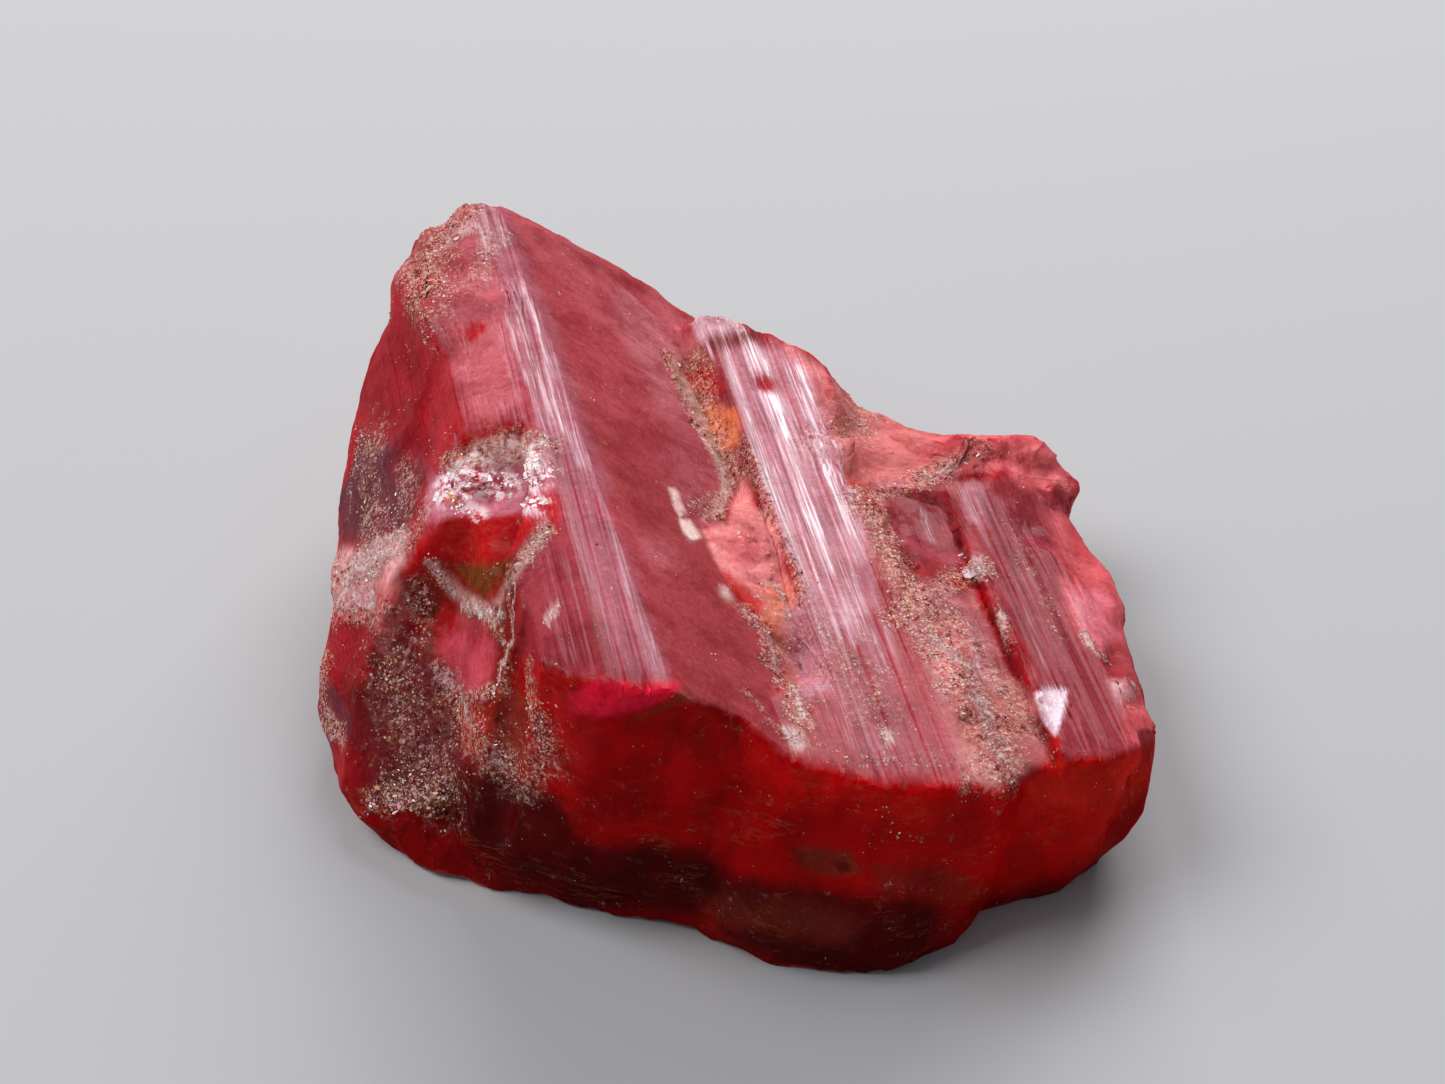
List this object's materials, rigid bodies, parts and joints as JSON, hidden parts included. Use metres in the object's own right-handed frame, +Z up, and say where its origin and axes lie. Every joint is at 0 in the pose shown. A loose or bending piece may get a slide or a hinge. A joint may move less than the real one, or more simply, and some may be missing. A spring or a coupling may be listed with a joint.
{
  "type": "rhodonite crystal",
  "caption": "Broken single crystal of rhodonite with striated growth faces, one smooth cleavage slope, a ledge and rough broken sides, lying on a flat underside.",
  "frame": {"origin": "on the resting plane, under the middle of the crystal's outline", "axes": "+Y back along the crystal's zone axis, which all its striated faces follow; +X right, down the lean of the striated faces; +Z up from the surface that it lies on"},
  "size_m": [0.0232, 0.0252, 0.0096],
  "materials": {
    "rhodonite": "glassy, striated and slightly translucent, with granular crusts"
  },
  "bodies": {
    "root": {"rhodonite_crystal": "rhodonite"}
  },
  "joints": []
}
